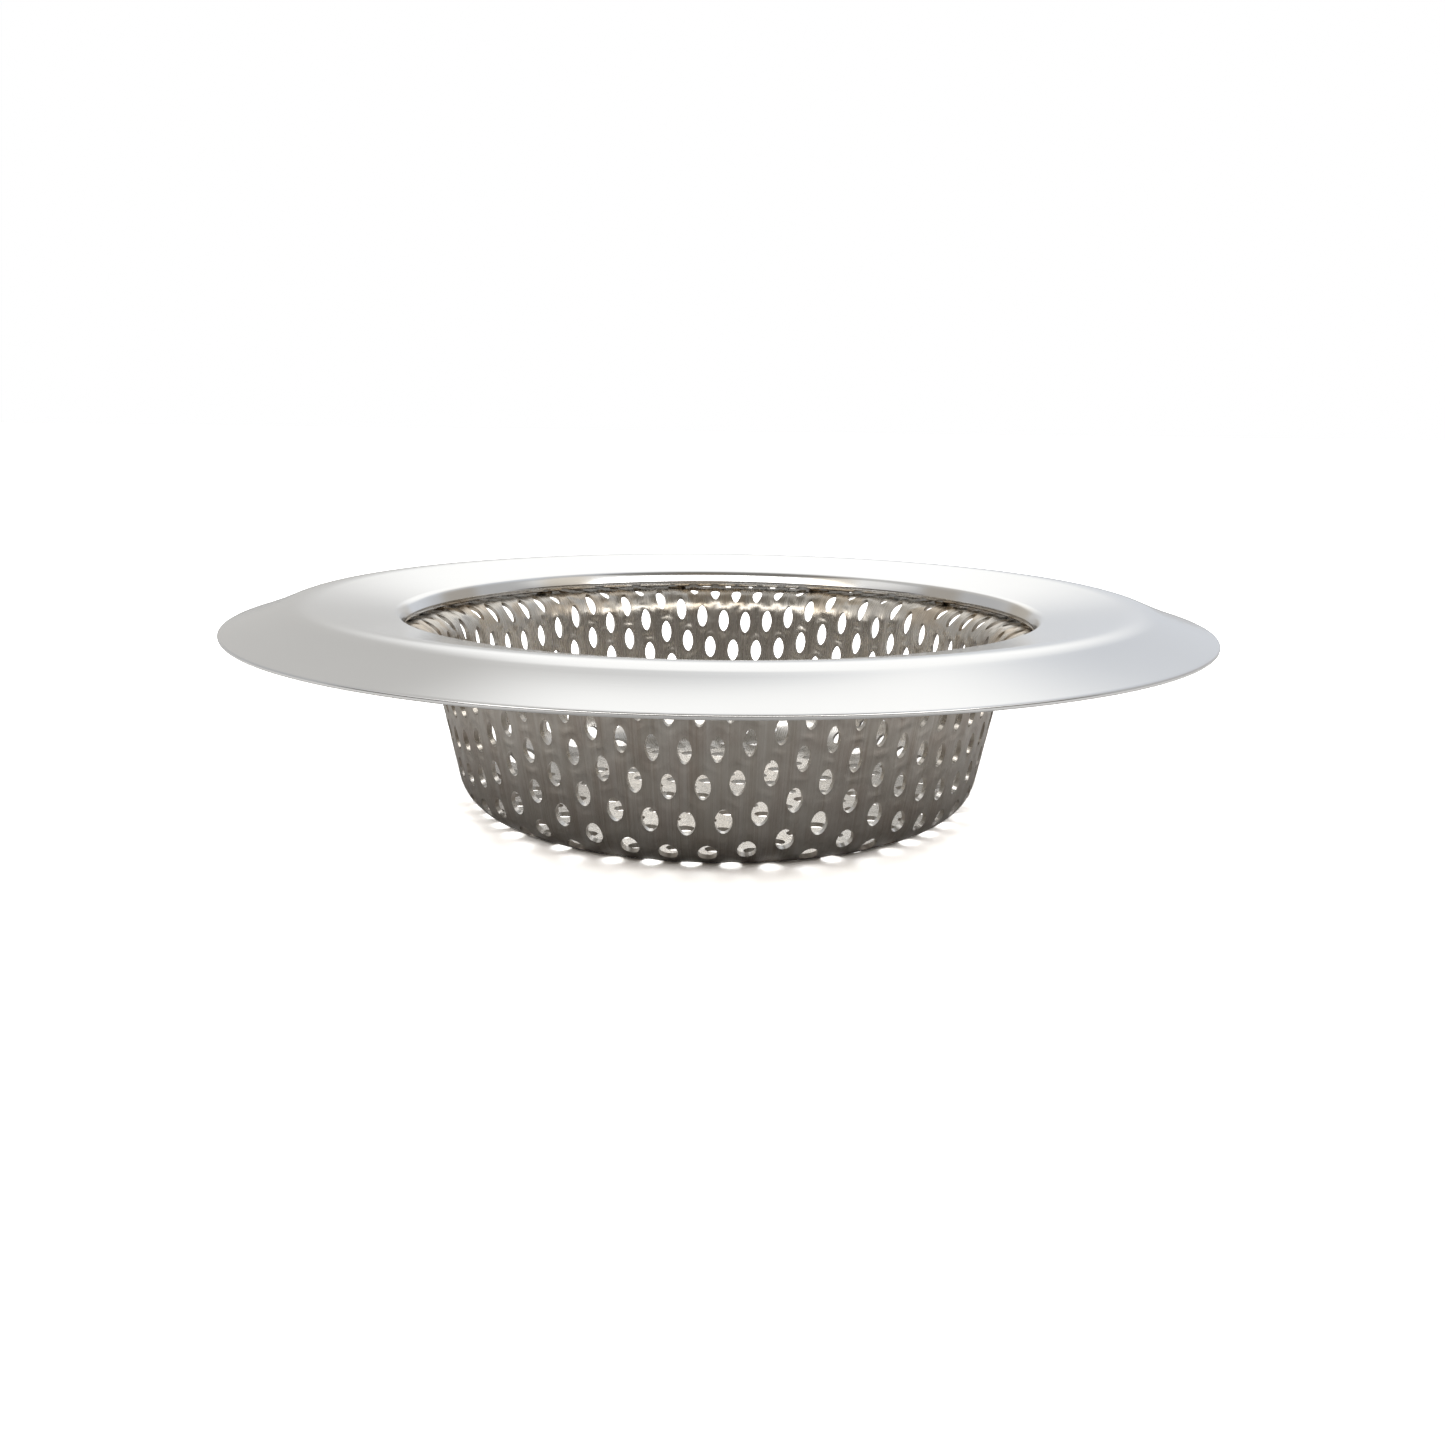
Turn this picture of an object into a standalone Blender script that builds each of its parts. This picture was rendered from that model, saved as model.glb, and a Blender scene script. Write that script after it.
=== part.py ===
"""A drop-in kitchen-sink basket strainer: a stamped rim and a drawn, perforated basket joined by spot welds.

Metres, +Z up, standing on the basket's bottom at the origin. The basket starts as a flat perforated
blank and is drawn into a cup, so each hole keeps its place in the sheet and stretches with it.
"""

import math

import bmesh
import bpy
from mathutils import Matrix, Vector

SHEET = 0.0005  # thickness of both pressed sheets

# Rim, in section: a skirt that hollows slightly, a crown, a gentle slope down to the opening, a bend
# into a short steep collar, and a fold back out as a narrow foot. The radii are those of the upper side.
RIM_RADIUS = 0.057
CREST_RADIUS = 0.0479
CREST_HEIGHT = 0.02503
OUTER_CROWN_RADIUS = 0.0066
INNER_CROWN_RADIUS = 0.0092
SKIRT_SLOPE = math.radians(22.9)  # where the skirt meets the crown
SKIRT_RADIUS = 0.063
INNER_SLOPE = math.radians(9.8)
BEND_START_RADIUS = 0.0381
BEND_RADIUS = 0.0011
COLLAR_SLOPE = math.radians(65)
COLLAR_LENGTH = 0.0008
FOLD_RADIUS = 0.0006
FOOT_OUTER_RADIUS = 0.0408
CROWN_STEPS = 5
BEND_STEPS = 4
RIM_SIDES = 72

# Basket: flat bottom, rounded corner, tapered wall, flare, and a flat flange under the rim's foot.
FLAT_RADIUS = 0.0262
CORNER_RADIUS = 0.005
WALL_TAPER = math.radians(11.9)
FLARE_RADIUS = 0.0033
CURVE_STEPS = 12
FLANGE_HEIGHT = 0.0207  # to the middle of the sheet
FLANGE_RADIUS = 0.0413
DRAW_GAIN = 1.08  # blank drawn into each unit of wall area, because the wall thickens

# Perforation of the flat blank: a triangular lattice, turned and shifted from the press's axis.
HOLE_PITCH = 0.00414
HOLE_RADIUS = 0.0011
SQUARE_HOLE = 1.15  # a four-sided hole of about the same area reaches this far, in hole radii
LATTICE_TURN = math.radians(-6.06)
LATTICE_SHIFT = (-0.148, 0.405)  # along the two lattice directions, in pitches
GRID_CELLS = 32
EDGE_CUTS = 72

# Spot welds between the rim's foot and the basket's flange.
WELDS = 12
WELD_RADIUS = 0.0011
WELD_RING_RADIUS = 0.0393
WELD_FIRST_ANGLE = math.radians(99)
WELD_CLEARANCE = 0.00002


def clear_scene():
    for thing in list(bpy.data.objects):
        bpy.data.objects.remove(thing, do_unlink=True)


def steel(name, colour, roughness):
    material = bpy.data.materials.new(name)
    material.use_nodes = True
    shader = material.node_tree.nodes["Principled BSDF"]
    shader.inputs["Base Color"].default_value = (*colour, 1)
    shader.inputs["Metallic"].default_value = 1
    shader.inputs["Roughness"].default_value = roughness
    return material


def add_object(name, bm, material):
    bmesh.ops.recalc_face_normals(bm, faces=bm.faces[:])
    mesh = bpy.data.meshes.new(name)
    bm.to_mesh(mesh)
    bm.free()
    mesh.materials.append(material)
    thing = bpy.data.objects.new(name, mesh)
    bpy.context.scene.collection.objects.link(thing)
    return thing


def add_thickness(thing):
    sheet = thing.modifiers.new("sheet", "SOLIDIFY")
    sheet.thickness = SHEET
    sheet.offset = 0
    sheet.use_even_offset = True
    sheet.use_rim = True


def arc(centre, radius, start, end, steps):
    """Points (radius, height) along a round stretch of a section, both ends included."""
    angles = [start + (end - start) * step / steps for step in range(steps + 1)]
    return [(centre[0] + radius * math.cos(a), centre[1] + radius * math.sin(a)) for a in angles]


def rim_section(depth):
    """The rim's outline at a depth below its upper side, from the outer edge to the foot's end."""
    outer_crown = (CREST_RADIUS, CREST_HEIGHT - OUTER_CROWN_RADIUS)
    inner_crown = (CREST_RADIUS, CREST_HEIGHT - INNER_CROWN_RADIUS)
    reach = OUTER_CROWN_RADIUS + SKIRT_RADIUS
    skirt = (outer_crown[0] + reach * math.sin(SKIRT_SLOPE), outer_crown[1] + reach * math.cos(SKIRT_SLOPE))
    edge = 2 * math.pi - math.acos((RIM_RADIUS - skirt[0]) / SKIRT_RADIUS)
    slope_top = inner_crown[0] - INNER_CROWN_RADIUS * math.sin(INNER_SLOPE)
    fall = (slope_top - BEND_START_RADIUS) * math.tan(INNER_SLOPE)
    bend_start = inner_crown[1] + INNER_CROWN_RADIUS * math.cos(INNER_SLOPE) - fall
    bend = (BEND_START_RADIUS + BEND_RADIUS * math.sin(INNER_SLOPE),
            bend_start - BEND_RADIUS * math.cos(INNER_SLOPE))
    sine, cosine = math.sin(COLLAR_SLOPE), math.cos(COLLAR_SLOPE)
    shift = BEND_RADIUS - FOLD_RADIUS
    fold = (bend[0] - COLLAR_LENGTH * cosine - shift * sine, bend[1] - COLLAR_LENGTH * sine + shift * cosine)
    up = 0.5 * math.pi
    points = arc(skirt, SKIRT_RADIUS + depth, edge, 3 * up - SKIRT_SLOPE, CROWN_STEPS)
    points += arc(outer_crown, OUTER_CROWN_RADIUS - depth, up - SKIRT_SLOPE, up, CROWN_STEPS)[1:]
    points += arc(inner_crown, INNER_CROWN_RADIUS - depth, up, up + INNER_SLOPE, CROWN_STEPS)[1:]
    points += arc(bend, BEND_RADIUS - depth, up + INNER_SLOPE, up + COLLAR_SLOPE, BEND_STEPS)
    points += arc(fold, FOLD_RADIUS - depth, up + COLLAR_SLOPE, 3 * up, BEND_STEPS)
    return points + [(FOOT_OUTER_RADIUS, points[-1][1])]


def basket_section():
    """The middle of the basket's sheet, from the centre of the bottom to the flange's edge."""
    points = [(0, SHEET / 2)]
    corner = CORNER_RADIUS - SHEET / 2
    points += arc((FLAT_RADIUS, CORNER_RADIUS), corner, -0.5 * math.pi, -WALL_TAPER, CURVE_STEPS)
    wall_foot = points[-1]
    wall_top = FLANGE_HEIGHT - FLARE_RADIUS * (1 - math.sin(WALL_TAPER))
    flare = wall_foot[0] + (wall_top - wall_foot[1]) * math.tan(WALL_TAPER)
    flare_centre = (flare + FLARE_RADIUS * math.cos(WALL_TAPER), FLANGE_HEIGHT - FLARE_RADIUS)
    points += arc(flare_centre, FLARE_RADIUS, math.pi - WALL_TAPER, 0.5 * math.pi, CURVE_STEPS)
    return points + [(FLANGE_RADIUS, FLANGE_HEIGHT)]


def drawn_path(section):
    """Pairs of the radius in the flat blank and the (radius, height) that it is drawn to."""
    blank = section[1][0]
    path = [(0.0, section[0]), (blank, section[1])]
    for (r0, z0), (r1, z1) in zip(section[1:], section[2:]):
        band = (r0 + r1) * math.hypot(r1 - r0, z1 - z0)
        blank = math.sqrt(blank**2 + DRAW_GAIN * band)
        path.append((blank, (r1, z1)))
    return path


def draw_into_cup(bm, path):
    """Moves each vertex of the flat blank to its place in the pressed basket."""
    for vertex in bm.verts:
        blank = vertex.co.xy.length
        step = next((k for k in range(1, len(path)) if blank <= path[k][0]), len(path) - 1)
        (b0, (r0, z0)), (b1, (r1, z1)) = path[step - 1], path[step]
        part = (blank - b0) / (b1 - b0)
        vertex.co.xy *= (r0 + (r1 - r0) * part) / max(blank, 1e-9)
        vertex.co.z = z0 + (z1 - z0) * part


def lattice_matrix():
    """Turns a square unit grid into the triangular lattice of the perforation."""
    shear = Matrix(((1, 0.5, 0, 0), (0, math.sqrt(0.75), 0, 0), (0, 0, 1, 0), (0, 0, 0, 1)))
    shift = Matrix.Translation((*LATTICE_SHIFT, 0))
    return Matrix.Rotation(LATTICE_TURN, 4, "Z") @ Matrix.Scale(HOLE_PITCH, 4) @ shear @ shift


def punch_holes(bm, to_lattice, perforated_radius):
    """Opens a four-sided hole at each lattice point inside the perforated circle."""
    centres = [v for v in bm.verts if v.co.xy.length < perforated_radius]
    reach = HOLE_RADIUS * SQUARE_HOLE
    bmesh.ops.bevel(bm, geom=centres, offset=reach, offset_type="OFFSET", segments=1,
                    profile=0.5, affect="VERTICES", material=-1)
    square_up = Matrix.Rotation(math.radians(30), 3, "Z")
    to_grid = to_lattice.inverted()
    for vertex in bm.verts:
        cell = to_grid @ vertex.co
        centre = to_lattice @ Vector((round(cell.x), round(cell.y), 0))
        off_row = abs(cell.x - round(cell.x)) < abs(cell.y - round(cell.y))
        if off_row and (vertex.co - centre).length < reach * 1.01:
            vertex.co = centre + square_up @ (vertex.co - centre)
    holes = [f for f in bm.faces if max(e.calc_length() for e in f.edges) < reach * 1.8]
    bmesh.ops.delete(bm, geom=holes, context="FACES")


def trim_to_circle(bm, radius):
    """Cuts the blank to a many-sided disc, through whatever lies on its edge."""
    for cut in range(EDGE_CUTS):
        angle = 2 * math.pi * (cut + 0.5) / EDGE_CUTS
        out = (math.cos(angle), math.sin(angle), 0)
        reach = radius * math.cos(math.pi / EDGE_CUTS)
        everything = bm.verts[:] + bm.edges[:] + bm.faces[:]
        bmesh.ops.bisect_plane(bm, geom=everything, dist=1e-6, clear_outer=True,
                               plane_co=(reach * out[0], reach * out[1], 0), plane_no=out)


def make_rim():
    bm = bmesh.new()
    corners = [bm.verts.new((radius, 0, height)) for radius, height in rim_section(SHEET / 2)]
    edges = [bm.edges.new(pair) for pair in zip(corners, corners[1:])]
    bmesh.ops.spin(bm, geom=corners + edges, axis=(0, 0, 1), cent=(0, 0, 0), steps=RIM_SIDES,
                   angle=2 * math.pi, use_merge=True)
    add_thickness(add_object("rim", bm, steel("satin_polished_steel", (0.78, 0.78, 0.77), 0.22)))


def make_basket():
    path = drawn_path(basket_section())
    to_lattice = lattice_matrix()
    bm = bmesh.new()
    bmesh.ops.create_grid(bm, x_segments=GRID_CELLS, y_segments=GRID_CELLS, size=GRID_CELLS / 2)
    bmesh.ops.transform(bm, matrix=to_lattice, verts=bm.verts[:])
    punch_holes(bm, to_lattice, path[-2][0])
    trim_to_circle(bm, path[-1][0])
    bmesh.ops.triangulate(bm, faces=bm.faces[:])
    draw_into_cup(bm, path)
    add_thickness(add_object("basket", bm, steel("perforated_steel", (0.42, 0.40, 0.38), 0.38)))


def make_spot_welds():
    weld_metal = steel("weld_metal", (0.50, 0.42, 0.33), 0.5)
    bottom = FLANGE_HEIGHT + SHEET / 2 + WELD_CLEARANCE
    foot_underside = rim_section(0)[-1][1]
    top = foot_underside - WELD_CLEARANCE
    for index in range(WELDS):
        angle = WELD_FIRST_ANGLE + 2 * math.pi * index / WELDS
        bm = bmesh.new()
        bmesh.ops.create_cone(bm, cap_ends=True, segments=12, radius1=WELD_RADIUS,
                              radius2=WELD_RADIUS, depth=top - bottom)
        weld = add_object(f"spot_weld_{index + 1:02d}", bm, weld_metal)
        x, y = math.cos(angle), math.sin(angle)
        weld.location = (WELD_RING_RADIUS * x, WELD_RING_RADIUS * y, (top + bottom) / 2)


def main():
    clear_scene()
    make_rim()
    make_basket()
    make_spot_welds()


main()
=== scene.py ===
"""Looks for the sink basket strainer: a satin-polished rim and a drawn, punched basket on a white table.

Metres, in the CAD's frame. The rim and the basket are remade at full smoothness with round holes; the
spot welds stay as the CAD has them and get a heat-tinted finish.
"""

import math

import bmesh
import bpy
from mathutils import Matrix, Vector


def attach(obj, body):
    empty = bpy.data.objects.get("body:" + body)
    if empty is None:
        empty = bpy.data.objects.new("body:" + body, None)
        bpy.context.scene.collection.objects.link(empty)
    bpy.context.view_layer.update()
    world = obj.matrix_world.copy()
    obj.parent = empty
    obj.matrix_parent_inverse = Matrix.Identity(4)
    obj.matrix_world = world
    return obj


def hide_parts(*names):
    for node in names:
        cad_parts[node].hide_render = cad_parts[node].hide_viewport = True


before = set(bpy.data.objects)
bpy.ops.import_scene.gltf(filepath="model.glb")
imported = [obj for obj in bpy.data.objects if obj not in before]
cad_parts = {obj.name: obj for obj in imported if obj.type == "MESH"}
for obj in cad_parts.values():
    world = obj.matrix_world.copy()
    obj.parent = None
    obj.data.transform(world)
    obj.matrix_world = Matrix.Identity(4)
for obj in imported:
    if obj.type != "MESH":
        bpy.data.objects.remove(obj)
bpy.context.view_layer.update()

SHEET = 0.0005
CUT_EDGE_ROUND = 0.4 * SHEET
CUT_EDGE_TURN = math.radians(60)
SHARP_TURN = math.radians(40)

# Rim section, as the CAD has it.
RIM_RADIUS = 0.057
CREST_RADIUS = 0.0479
CREST_HEIGHT = 0.02503
OUTER_CROWN_RADIUS = 0.0066
INNER_CROWN_RADIUS = 0.0092
SKIRT_SLOPE = math.radians(22.9)
SKIRT_RADIUS = 0.063
INNER_SLOPE = math.radians(9.8)
BEND_START_RADIUS = 0.0381
BEND_RADIUS = 0.0011
COLLAR_SLOPE = math.radians(65)
COLLAR_LENGTH = 0.0008
FOLD_RADIUS = 0.0006
FOOT_OUTER_RADIUS = 0.0408
RIM_STEPS = 288

# Basket section and perforation, as the CAD has them.
FLAT_RADIUS = 0.0262
CORNER_RADIUS = 0.005
WALL_TAPER = math.radians(11.9)
FLARE_RADIUS = 0.0033
FLANGE_HEIGHT = 0.0207
FLANGE_RADIUS = 0.0413
DRAW_GAIN = 1.08
HOLE_PITCH = 0.00414
HOLE_RADIUS = 0.0011
HOLE_SIDES = 18
LATTICE_TURN = math.radians(-6.06)
LATTICE_SHIFT = (-0.148, 0.405)
EDGE_CUTS = 120
CUT_MARGIN = 1e-7
CUT_MERGE = 1e-6

# How the draw changes the holes, at its fullest, in shares of their size, and the curl in metres.
DRAWN_BAND = 0.016  # blank radius over which the change grows from nothing
HOLE_STRETCH = 0.20
HOLE_NARROWING = 0.16
HOLE_POINT = 0.12
HOLE_CURL = 0.00010

WELDS = 12
WELD_FIRST_ANGLE = math.radians(99)

# Where the steel's heat tint, and the painted highlight on the inner bottom, change: from none of it to all
# of it.
COLLAR_TINT_RADII = (0.0379, 0.0372)
FLANGE_TINT_HEIGHTS = (0.0182, 0.0204)
# The inner bottom's painted highlight, standing in for the overhead light falling into the cup.
PAINTED_LIT_BOTTOM_HEIGHTS = (0.011, 0.004)

# The table's tone: to the camera, and to the steel close by, where the grey is painted shade, and further
# off.
FLOOR_WHITE = 4.6
FLOOR_SHADED_GREY = 0.60
FLOOR_OPEN_GREY = 0.90

# The room's brightness, by the direction that the steel sees it in.
SWEEP_LEFT = (0.60, 0.59, 0.57, 1)
SWEEP_RIGHT = (0.70, 0.725, 0.765, 1)
SWEEP_ENDS = (0.52, 0.52, 0.52, 1)
SWEEP_BRIGHT = (1.22, 1.22, 1.20, 1)
ROOM_DARK = (0.11, 0.10, 0.09, 1)
ROOM_WINDOWS = (0.95, 0.94, 0.92, 1)
CEILING = (0.22, 0.21, 0.19, 1)

LAMP_PLACE = (0, -0.34, 0.40)
LAMP_AIM = (0, 0, 0.02)
LAMP_SIZE = (1.1, 0.16)
LAMP_POWER = 1.5
LAMP_COLOUR = (1.0, 0.98, 0.95)

CAMERA_DISTANCE = 0.170
CAMERA_HEIGHT = 0.0463
CAMERA_PITCH = 0.2150
CAMERA_YAW = 0.0030
CAMERA_ROLL = 0.0125
CAMERA_LENS = 35.58


# ---- Sections -------------------------------------------------------------------------------------

def arc(centre, radius, start, end, steps):
    """Points (radius, height) along a round stretch of a section, both ends included."""
    angles = [start + (end - start) * step / steps for step in range(steps + 1)]
    return [(centre[0] + radius * math.cos(a), centre[1] + radius * math.sin(a)) for a in angles]


def rim_side(depth):
    """The rim's outline at a depth below its upper side, from the outer edge to the foot's end."""
    outer_crown = (CREST_RADIUS, CREST_HEIGHT - OUTER_CROWN_RADIUS)
    inner_crown = (CREST_RADIUS, CREST_HEIGHT - INNER_CROWN_RADIUS)
    reach = OUTER_CROWN_RADIUS + SKIRT_RADIUS
    skirt = (outer_crown[0] + reach * math.sin(SKIRT_SLOPE), outer_crown[1] + reach * math.cos(SKIRT_SLOPE))
    edge = 2 * math.pi - math.acos((RIM_RADIUS - skirt[0]) / SKIRT_RADIUS)
    slope_top = inner_crown[0] - INNER_CROWN_RADIUS * math.sin(INNER_SLOPE)
    fall = (slope_top - BEND_START_RADIUS) * math.tan(INNER_SLOPE)
    bend_start = inner_crown[1] + INNER_CROWN_RADIUS * math.cos(INNER_SLOPE) - fall
    bend = (BEND_START_RADIUS + BEND_RADIUS * math.sin(INNER_SLOPE),
            bend_start - BEND_RADIUS * math.cos(INNER_SLOPE))
    sine, cosine = math.sin(COLLAR_SLOPE), math.cos(COLLAR_SLOPE)
    shift = BEND_RADIUS - FOLD_RADIUS
    fold = (bend[0] - COLLAR_LENGTH * cosine - shift * sine, bend[1] - COLLAR_LENGTH * sine + shift * cosine)
    up = 0.5 * math.pi
    points = arc(skirt, SKIRT_RADIUS + depth, edge, 3 * up - SKIRT_SLOPE, 14)
    points += arc(outer_crown, OUTER_CROWN_RADIUS - depth, up - SKIRT_SLOPE, up, 14)[1:]
    points += arc(inner_crown, INNER_CROWN_RADIUS - depth, up, up + INNER_SLOPE, 14)[1:]
    points += arc(bend, BEND_RADIUS - depth, up + INNER_SLOPE, up + COLLAR_SLOPE, 10)
    points += arc(fold, FOLD_RADIUS - depth, up + COLLAR_SLOPE, 3 * up, 12)
    return points + [(FOOT_OUTER_RADIUS, points[-1][1])]


def basket_section():
    """The middle of the basket's sheet, from the centre of the bottom to the flange's edge."""
    points = [(0, SHEET / 2)]
    corner = CORNER_RADIUS - SHEET / 2
    points += arc((FLAT_RADIUS, CORNER_RADIUS), corner, -0.5 * math.pi, -WALL_TAPER, 48)
    wall_foot = points[-1]
    wall_top = FLANGE_HEIGHT - FLARE_RADIUS * (1 - math.sin(WALL_TAPER))
    flare = wall_foot[0] + (wall_top - wall_foot[1]) * math.tan(WALL_TAPER)
    flare_centre = (flare + FLARE_RADIUS * math.cos(WALL_TAPER), FLANGE_HEIGHT - FLARE_RADIUS)
    points += arc(flare_centre, FLARE_RADIUS, math.pi - WALL_TAPER, 0.5 * math.pi, 48)
    return points + [(FLANGE_RADIUS, FLANGE_HEIGHT)]


def drawn_path(section):
    """Pairs of the radius in the flat blank and the (radius, height) that it is drawn to."""
    blank = section[1][0]
    path = [(0.0, section[0]), (blank, section[1])]
    for (r0, z0), (r1, z1) in zip(section[1:], section[2:]):
        band = (r0 + r1) * math.hypot(r1 - r0, z1 - z0)
        blank = math.sqrt(blank**2 + DRAW_GAIN * band)
        path.append((blank, (r1, z1)))
    return path


# ---- Mesh -----------------------------------------------------------------------------------------

def finish_piece(name, bm, material):
    """Turns a bmesh into a shaded object, crisp where it turns sharply."""
    bmesh.ops.recalc_face_normals(bm, faces=bm.faces[:])
    for face in bm.faces:
        face.smooth = True
    for edge in bm.edges:
        edge.smooth = len(edge.link_faces) == 2 and edge.calc_face_angle(0) < SHARP_TURN
    mesh = bpy.data.meshes.new(name)
    bm.to_mesh(mesh)
    bm.free()
    mesh.materials.append(material)
    piece = bpy.data.objects.new(name, mesh)
    bpy.context.scene.collection.objects.link(piece)
    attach(piece, "root")
    return piece


def make_rim(material):
    """Spins the rim's outline and takes the sharpness off the sheet's cut edges."""
    outline = rim_side(0) + rim_side(SHEET)[::-1]
    bm = bmesh.new()
    corners = [bm.verts.new((radius, 0, height)) for radius, height in outline]
    edges = [bm.edges.new(pair) for pair in zip(corners, corners[1:] + corners[:1])]
    bmesh.ops.spin(bm, geom=corners + edges, axis=(0, 0, 1), cent=(0, 0, 0), steps=RIM_STEPS,
                   angle=2 * math.pi, use_merge=True)
    cut_edges = [e for e in bm.edges if e.calc_face_angle(0) > CUT_EDGE_TURN]
    bmesh.ops.bevel(bm, geom=cut_edges, offset=CUT_EDGE_ROUND, segments=4, profile=0.5,
                    affect="EDGES", material=-1)
    rim = finish_piece("rim_sheet", bm, material)
    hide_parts("rim")


def lattice_points(limit):
    """Hole centres of the flat blank, out to the given radius."""
    turn = Matrix.Rotation(LATTICE_TURN, 2)
    steps = int(limit / HOLE_PITCH * 1.2) + 2
    for i in range(-steps, steps + 1):
        for j in range(-steps, steps + 1):
            u, v = i + LATTICE_SHIFT[0], j + LATTICE_SHIFT[1]
            point = turn @ Vector((HOLE_PITCH * (u + 0.5 * v), HOLE_PITCH * math.sqrt(0.75) * v))
            if point.length < limit:
                yield point


def edges_of(verts):
    """The edges that meet any of the vertices, each once and in a steady order."""
    return list(dict.fromkeys(edge for vertex in verts for edge in vertex.link_edges))


def punched_cell():
    """One six-sided cell of the sheet with a round hole, with two evenly spaced rings between the hole and
    the cell's edge.
    """
    bm = bmesh.new()
    corner = HOLE_PITCH / math.sqrt(3)
    hexagon = bmesh.ops.create_circle(bm, cap_ends=False, segments=6, radius=corner)["verts"]
    turn = Matrix.Rotation(LATTICE_TURN, 3, "Z")
    sides = edges_of(hexagon)
    bmesh.ops.subdivide_edges(bm, edges=sides, cuts=HOLE_SIDES // 6 - 1)
    outline = bm.edges[:]
    hole = bmesh.ops.create_circle(bm, cap_ends=False, segments=HOLE_SIDES, radius=HOLE_RADIUS)
    rim_edges = edges_of(hole["verts"])
    bmesh.ops.bridge_loops(bm, edges=outline + rim_edges)
    spokes = [e for e in bm.edges if e not in outline and e not in rim_edges]
    bmesh.ops.subdivide_edges(bm, edges=spokes, cuts=2)
    bmesh.ops.rotate(bm, cent=(0, 0, 0), matrix=turn, verts=bm.verts[:])
    return bm


def stretch_hole(verts, centre):
    """Drawing pulls a hole of the wall long and pointed, and curls its two ends inwards a little."""
    strain = min(max((centre.length - FLAT_RADIUS) / DRAWN_BAND, 0), 1)
    up = centre.normalized()
    across = Vector((-up.y, up.x))
    for vertex in verts:
        offset = vertex.co.xy
        near_hole = 1 - (offset.length - HOLE_RADIUS) / (HOLE_PITCH / 2 - HOLE_RADIUS)
        pull = strain * min(max(near_hole, 0), 1)
        end = (offset.dot(up) / HOLE_RADIUS) ** 2
        along = offset.dot(up) * (1 + HOLE_STRETCH * pull)
        aside = offset.dot(across) * (1 - HOLE_NARROWING * pull - HOLE_POINT * pull * end)
        vertex.co.xy = along * up + aside * across
        vertex.co.z += HOLE_CURL * pull * end


def punched_blank(radius):
    """The flat blank: a cell at every hole centre, cut round through whatever lies on its edge."""
    cell = punched_cell()
    mesh = bpy.data.meshes.new("cell")
    cell.to_mesh(mesh)
    cell.free()
    bm = bmesh.new()
    for centre in lattice_points(radius + HOLE_PITCH):
        first = len(bm.verts)
        bm.from_mesh(mesh)
        bm.verts.ensure_lookup_table()
        stretch_hole(bm.verts[first:], centre)
        bmesh.ops.translate(bm, vec=(*centre, 0), verts=bm.verts[first:])
    bpy.data.meshes.remove(mesh)
    bmesh.ops.remove_doubles(bm, verts=bm.verts[:], dist=HOLE_PITCH / 200)
    cut_round(bm, radius)
    return bm


def cut_round(bm, radius):
    """Cuts the sheet to a circle with one straight cut after another."""
    reach = radius * math.cos(math.pi / EDGE_CUTS)
    for cut in range(EDGE_CUTS):
        angle = 2 * math.pi * cut / EDGE_CUTS
        out = Vector((math.cos(angle), math.sin(angle), 0))
        near = [f for f in bm.faces if any(v.co.dot(out) > reach - CUT_MARGIN for v in f.verts)]
        near_edges = dict.fromkeys(e for f in near for e in f.edges)
        near_verts = dict.fromkeys(v for f in near for v in f.verts)
        bmesh.ops.bisect_plane(bm, geom=[*near_verts, *near_edges, *near], dist=CUT_MERGE,
                               plane_co=reach * out, plane_no=out, clear_outer=True)


def draw_into_cup(bm, path):
    """Moves each point of the flat sheet to its place in the pressed basket, along the sheet's normal."""
    for vertex in bm.verts:
        blank = vertex.co.xy.length
        step = next((k for k in range(1, len(path)) if blank <= path[k][0]), len(path) - 1)
        (b0, (r0, z0)), (b1, (r1, z1)) = path[step - 1], path[step]
        part = (blank - b0) / (b1 - b0)
        along = Vector((r1 - r0, z1 - z0)).normalized()
        radius = r0 + (r1 - r0) * part - along.y * vertex.co.z
        height = z0 + (z1 - z0) * part + along.x * vertex.co.z
        vertex.co.xy *= radius / max(blank, 1e-9)
        vertex.co.z = height


def make_basket(material):
    path = drawn_path(basket_section())
    bm = punched_blank(path[-1][0])
    bmesh.ops.translate(bm, vec=(0, 0, -SHEET / 2), verts=bm.verts[:])
    upper = bmesh.ops.extrude_face_region(bm, geom=bm.faces[:])["geom"]
    raised = [v for v in upper if isinstance(v, bmesh.types.BMVert)]
    bmesh.ops.translate(bm, vec=(0, 0, SHEET), verts=raised)
    draw_into_cup(bm, path)
    basket = finish_piece("perforated_basket", bm, material)
    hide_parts("basket")


# ---- Shader expressions -----------------------------------------------------------------------------

class Value:
    """A socket's value in a shader, with the usual operators."""

    def __init__(self, nodes, socket):
        self.nodes = nodes
        self.socket = socket

    def _math(self, operation, *others):
        return self.nodes.add("ShaderNodeMath", {"operation": operation}, dict(enumerate(others)))

    def __add__(self, other):
        return self._math("ADD", self, other)

    def __sub__(self, other):
        return self._math("SUBTRACT", self, other)

    def __rsub__(self, other):
        return self._math("SUBTRACT", other, self)

    def __mul__(self, other):
        return self._math("MULTIPLY", self, other)

    def __truediv__(self, other):
        return self._math("DIVIDE", self, other)

    def __pow__(self, other):
        return self._math("POWER", self, other)

    def clamp(self):
        return self._math("MINIMUM", self._math("MAXIMUM", self, 0), 1)

    __radd__ = __add__
    __rmul__ = __mul__


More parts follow.
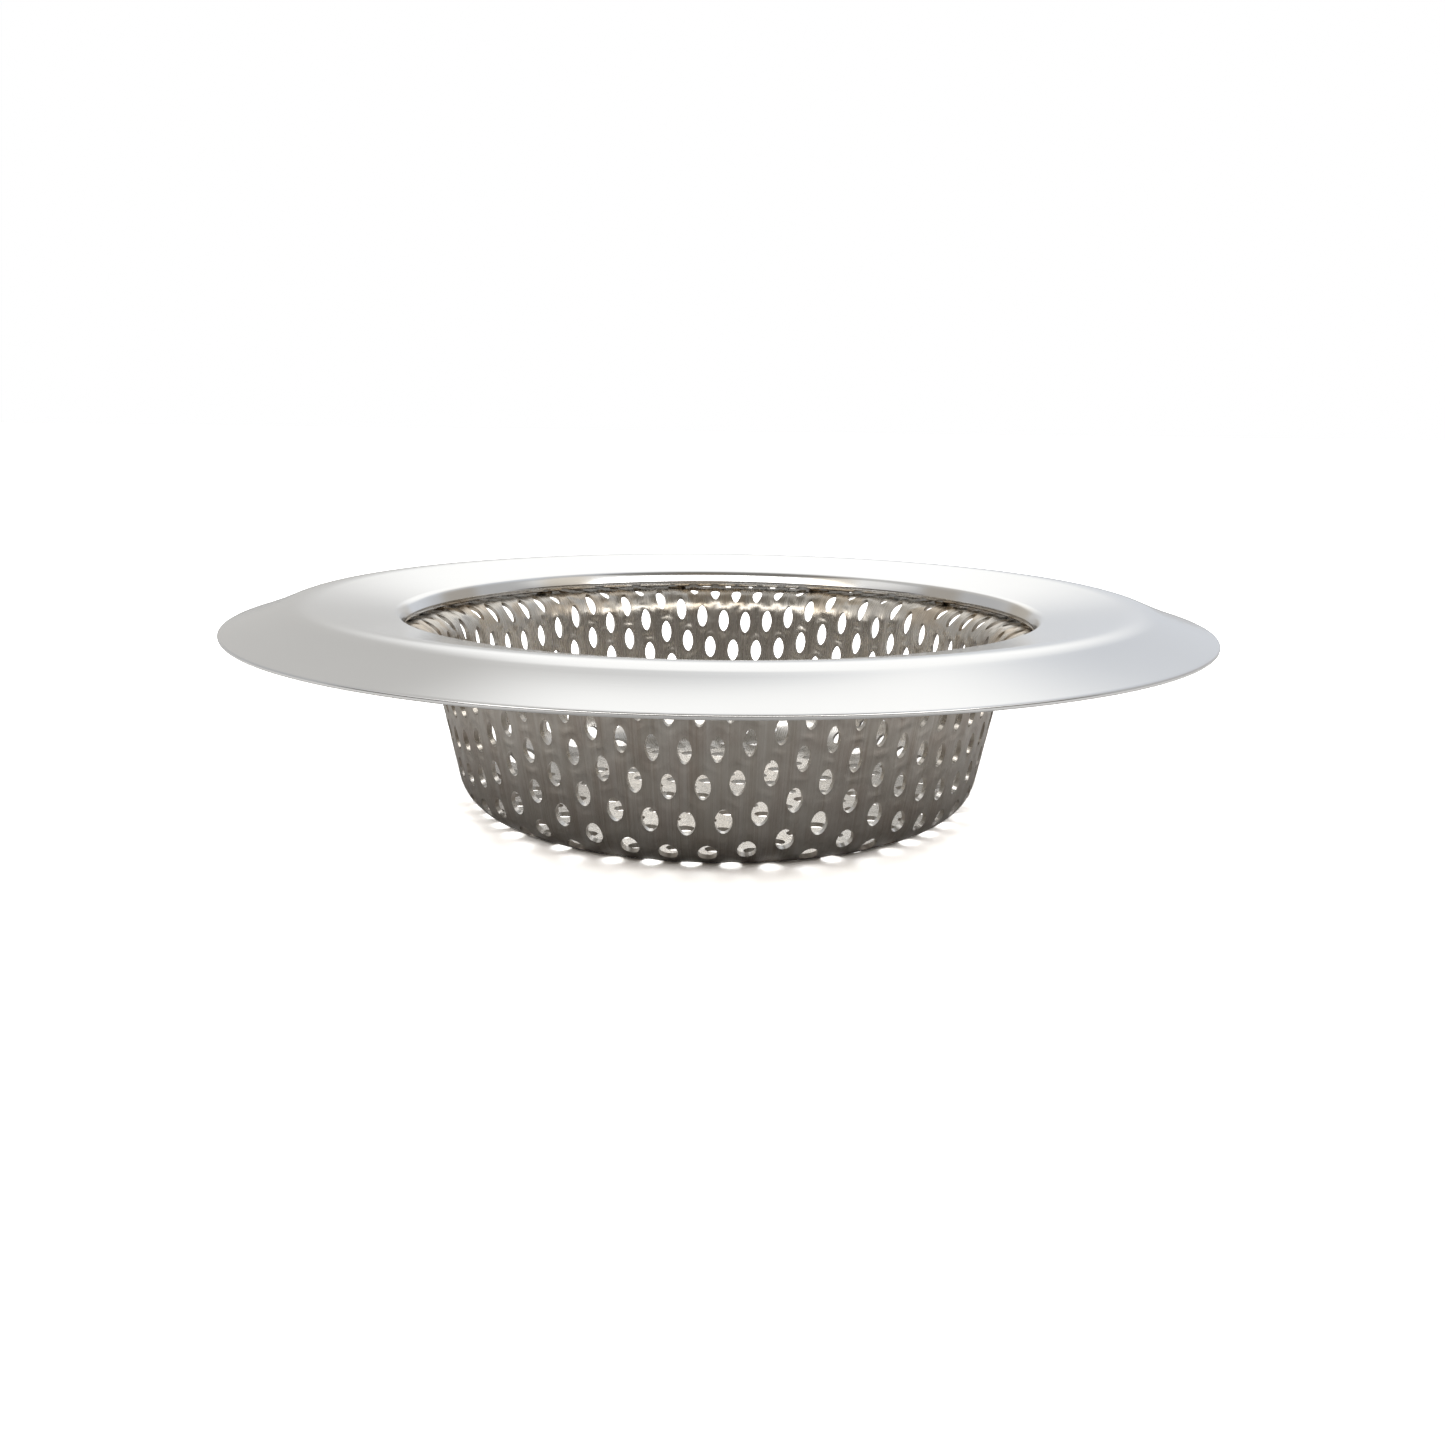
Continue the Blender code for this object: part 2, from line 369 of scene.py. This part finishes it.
class Nodes:
    """Adds nodes to one material's or world's tree."""

    def __init__(self, owner):
        owner.use_nodes = True
        self.tree = owner.node_tree
        self.shader = self.tree.nodes.get("Principled BSDF")

    def add(self, kind, settings=None, inputs=None, output=0):
        """Adds a node with its settings and its inputs, which are numbers, colours or other values."""
        node = self.tree.nodes.new(kind)
        for key, value in (settings or {}).items():
            setattr(node, key, value)
        for key, value in (inputs or {}).items():
            self.join(value, node.inputs[key])
        return Value(self, node.outputs[output])

    def join(self, value, socket):
        if isinstance(value, Value):
            self.tree.links.new(value.socket, socket)
        else:
            socket.default_value = value

    def set(self, **inputs):
        for key, value in inputs.items():
            self.join(value, self.shader.inputs[key.replace("_", " ")])

    def noise(self, vector, scale, detail=2, roughness=0.5):
        return self.add("ShaderNodeTexNoise", {},
                        {"Vector": vector, "Scale": scale, "Detail": detail, "Roughness": roughness})

    def mix(self, factor, first, second):
        return self.add("ShaderNodeMix", {"data_type": "RGBA"}, {0: factor, 6: first, 7: second}, 2)

    def smooth_step(self, value, low, high):
        settings = {"interpolation_type": "SMOOTHSTEP", "clamp": True}
        return self.add("ShaderNodeMapRange", settings, {0: value, 1: low, 2: high})

    def place(self):
        return self.add("ShaderNodeTexCoord", output=3)

    def split(self, vector):
        return [self.add("ShaderNodeSeparateXYZ", {}, {0: vector}, k) for k in range(3)]

    def vector(self, x, y, z):
        return self.add("ShaderNodeCombineXYZ", {}, {0: x, 1: y, 2: z})

    def bump(self, height, distance):
        return self.add("ShaderNodeBump", {}, {"Height": height, "Distance": distance})


def around(m):
    """The place's distance from the axis, its direction as a point on the unit circle, and its height."""
    x, y, z = m.split(m.place())
    radius = (x * x + y * y) ** 0.5
    return radius, x / radius, y / radius, z


def grey(value, warmth=0.0):
    return (value * (1 + warmth), value, value * (1 - warmth), 1)


def heat_tint(m, east, north, ragged):
    """Strongest at each spot weld's bearing and fading between them."""
    bearing = m.add("ShaderNodeMath", {"operation": "ARCTAN2"}, {0: north, 1: east})
    turns = WELDS * (bearing - WELD_FIRST_ANGLE) + 1.5 * ragged
    nearness = m.add("ShaderNodeMath", {"operation": "COSINE"}, {0: turns})
    return m.smooth_step(nearness, -0.2, 0.9)


def polished_steel():
    """Satin-polished sheet: faint rings from the polishing wheel, slight clouds, a heat-tinted collar."""
    material = bpy.data.materials.new("satin_polished_steel")
    m = Nodes(material)
    radius, east, north, z = around(m)
    rings = m.noise(m.vector(radius * 3000, z * 3000, east * 0.6), 1.0, 3, 0.6)
    cloud = m.noise(m.place(), 35, 3, 0.55)
    tone = m.mix(cloud, grey(0.76, 0.006), grey(0.84, -0.004))
    collar = m.smooth_step(radius, *COLLAR_TINT_RADII) * heat_tint(m, east, north, cloud)
    tone = m.mix(0.5 * collar, tone, (0.55, 0.46, 0.33, 1))
    m.set(Base_Color=tone, Metallic=1.0, Roughness=0.13 + 0.03 * rings + 0.04 * cloud,
          Normal=m.bump(rings, 0.000002))
    return material


def perforated_steel():
    """Drawn sheet: the inner side painted lighter and its bottom lighter still, a painted highlight for the
    light falling into the cup; the outer side painted darker, painted shade under the rim, with browner
    patches; fine lines up the wall.
    """
    material = bpy.data.materials.new("perforated_steel")
    m = Nodes(material)
    radius, east, north, z = around(m)
    facing = m.split(m.add("ShaderNodeTexCoord", output=1))
    # Painted light: the inner side is painted lighter than the outer, standing in for the light it catches
    # and for the rim's shade on the outer side.
    lit_inner_side = m.smooth_step(facing[2] - facing[0] * east - facing[1] * north, -0.1, 0.1)
    lines = m.noise(m.vector(east * 60, north * 60, z * 8), 2.0, 4, 0.7)
    streaks = m.smooth_step(m.noise(m.vector(east * 22, north * 22, z * 60), 1.0, 3, 0.6), 0.35, 0.7)
    cloud = m.noise(m.place(), 90, 4, 0.6)
    patch = m.smooth_step(m.noise(m.place(), 260, 3, 0.5), 0.35, 0.7)
    # The outer side's darker tones are painted shade; the browner patches are the sheet's own mottling. The
    # inner side's lighter tones are a painted highlight.
    outer = m.mix(cloud, (0.35, 0.31, 0.26, 1), (0.58, 0.54, 0.49, 1))
    outer = m.mix(0.6 * patch, outer, (0.37, 0.30, 0.255, 1))
    inner = m.mix(cloud, (0.44, 0.40, 0.34, 1), (0.68, 0.64, 0.58, 1))
    # Painted highlight: the inner bottom is painted lighter still, for the overhead light that falls into
    # the cup.
    inner = m.mix(m.smooth_step(z, *PAINTED_LIT_BOTTOM_HEIGHTS), inner, (0.80, 0.785, 0.76, 1))
    tone = m.mix(0.45 * m.smooth_step(lines, 0.35, 0.75), m.mix(lit_inner_side, outer, inner), (0.66, 0.63, 0.59, 1))
    tone = m.mix(0.35 * streaks, tone, (0.72, 0.70, 0.67, 1))
    tinted = m.smooth_step(z + 0.002 * cloud, *FLANGE_TINT_HEIGHTS) * heat_tint(m, east, north, 2 * patch)
    tone = m.mix(0.4 * tinted, tone, m.mix(cloud, (0.36, 0.22, 0.11, 1), (0.68, 0.55, 0.36, 1)))
    m.set(Base_Color=tone, Metallic=1.0, Roughness=0.27 - 0.09 * lit_inner_side + 0.12 * lines + 0.06 * cloud,
          Normal=m.bump(lines + 1.5 * patch, 0.00004))
    return material


def weld_metal():
    material = bpy.data.materials.new("weld_metal")
    m = Nodes(material)
    cloud = m.noise(m.place(), 900, 4, 0.6)
    tone = m.mix(cloud, (0.30, 0.20, 0.12, 1), (0.62, 0.52, 0.38, 1))
    m.set(Base_Color=tone, Metallic=1.0, Roughness=0.4 + 0.2 * cloud, Normal=m.bump(cloud, 0.00003))
    return material


# ---- Scene ------------------------------------------------------------------------------------------

def add_camera():
    camera = bpy.data.objects.new("camera", bpy.data.cameras.new("camera"))
    camera.data.lens = CAMERA_LENS
    camera.data.sensor_width = 36
    camera.data.clip_start = 0.005
    yaw = Matrix.Rotation(-CAMERA_YAW, 4, "Z")
    pitch = Matrix.Rotation(math.pi / 2 - CAMERA_PITCH, 4, "X")
    roll = Matrix.Rotation(CAMERA_ROLL, 4, "Z")
    place = Matrix.Translation((0, -CAMERA_DISTANCE, CAMERA_HEIGHT))
    camera.matrix_world = place @ yaw @ pitch @ roll
    bpy.context.scene.collection.objects.link(camera)
    bpy.context.scene.camera = camera


def add_floor():
    """A white table, lit to pure white but for the shadow at the basket's foot.

    The steel sees a grey table instead, darker close in front of and under the basket as painted shade, and
    lighter to the sides and behind.
    """
    bm = bmesh.new()
    bmesh.ops.create_grid(bm, x_segments=1, y_segments=1, size=3)
    mesh = bpy.data.meshes.new("table")
    bm.to_mesh(mesh)
    bm.free()
    material = bpy.data.materials.new("white_table")
    m = Nodes(material)
    x, y, z = m.split(m.place())
    # Painted shade: the steel sees the table darker close in front of and under the basket, standing in for
    # the rim's shadow on it.
    table_clear_of_shade = (m.smooth_step(x * x, 0.0003, 0.0028) + m.smooth_step(y, 0.05, 0.20)).clamp()
    seen = m.add("ShaderNodeLightPath")
    tone = m.mix(seen, m.mix(table_clear_of_shade, grey(FLOOR_SHADED_GREY), grey(FLOOR_OPEN_GREY)), grey(FLOOR_WHITE))
    matt = m.add("ShaderNodeBsdfDiffuse", {}, {"Color": tone})
    m.join(matt, m.tree.nodes["Material Output"].inputs["Surface"])
    mesh.materials.append(material)
    floor = bpy.data.objects.new("table", mesh)
    bpy.context.scene.collection.objects.link(floor)


def add_area(name, place, aim, size, power, colour):
    light = bpy.data.lights.new(name, "AREA")
    light.shape = "RECTANGLE"
    light.size, light.size_y = size
    light.energy = power
    light.color = colour
    lamp = bpy.data.objects.new(name, light)
    lamp.location = place
    lamp.rotation_euler = (Vector(aim) - Vector(place)).to_track_quat("-Z", "Y").to_euler()
    bpy.context.scene.collection.objects.link(lamp)


def add_light():
    """A bright sweep behind, a soft lamp above the camera, and a dim room with a window each side."""
    world = bpy.data.worlds.new("studio")
    w = Nodes(world)
    x, y, z = w.split(w.add("ShaderNodeTexCoord"))
    behind = w.smooth_step(y - 0.25 * z, -0.25, 0.05)
    aside = (x - 0.05) ** 2
    lit = w.smooth_step(z, 0.12, 0.36) * w.smooth_step(z + 0.8 * aside, 0.85, 0.77)
    lit = lit * w.smooth_step(aside, 0.16, 0.03)
    side = w.smooth_step(x, -0.4, 0.4)
    sweep = w.mix(side, SWEEP_LEFT, SWEEP_RIGHT)
    sweep = w.mix(w.smooth_step(x * x, 0.15, 0.50), sweep, SWEEP_ENDS)
    sweep = w.mix(lit, sweep, SWEEP_BRIGHT)
    windows = w.smooth_step(x * x, 0.06, 0.30) * w.smooth_step(z, 0.36, 0.60)
    room = w.mix(windows, ROOM_DARK, ROOM_WINDOWS)
    room = w.mix(behind, room, sweep)
    room = w.mix(w.smooth_step(z, 0.90, 0.96), room, CEILING)
    seen = w.add("ShaderNodeLightPath")
    w.join(w.mix(seen, room, (1, 1, 1, 1)), w.tree.nodes["Background"].inputs["Color"])
    bpy.context.scene.world = world
    add_area("front_softbox", LAMP_PLACE, LAMP_AIM, LAMP_SIZE, LAMP_POWER, LAMP_COLOUR)
    bpy.context.scene.view_settings.view_transform = "Standard"


def main():
    make_rim(polished_steel())
    make_basket(perforated_steel())
    welds = weld_metal()
    for name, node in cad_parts.items():
        if name.startswith("spot_weld"):
            node.data.materials.clear()
            node.data.materials.append(welds)
    add_floor()
    add_light()
    add_camera()


main()
